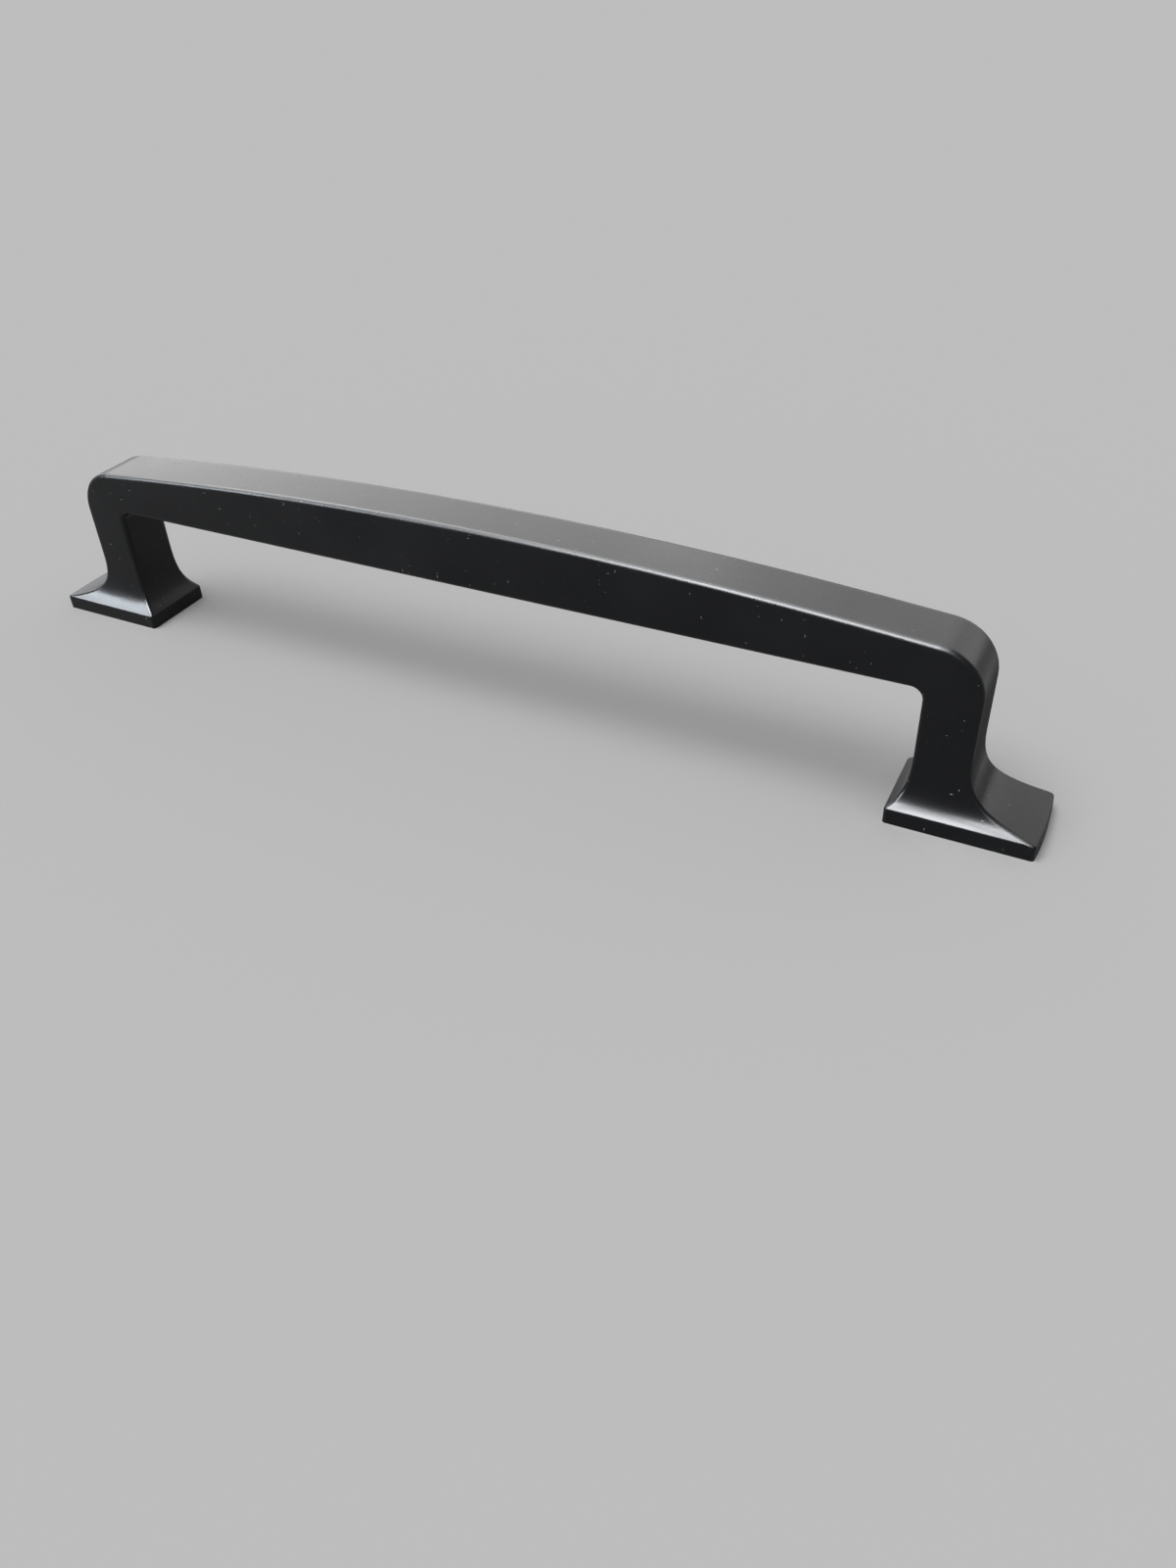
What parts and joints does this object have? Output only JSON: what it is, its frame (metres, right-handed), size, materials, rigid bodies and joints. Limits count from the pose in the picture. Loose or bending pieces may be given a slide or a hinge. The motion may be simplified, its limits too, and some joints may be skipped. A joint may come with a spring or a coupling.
{
  "type": "cabinet pull",
  "caption": "Crowned bar pull on square posts that flare into mitred feet with long, bowed toes and tapped screw holes, for opening a drawer or cabinet door.",
  "frame": {"origin": "in the mounting plane, midway between the screw holes", "axes": "+X along the bar, +Z away from the cabinet face, towards the crown of the bar"},
  "size_m": [0.1918, 0.0142, 0.0342],
  "materials": {
    "black_coat": "matte black coat with a fine satin grain"
  },
  "bodies": {
    "root": {"pull": "black_coat"}
  },
  "joints": []
}
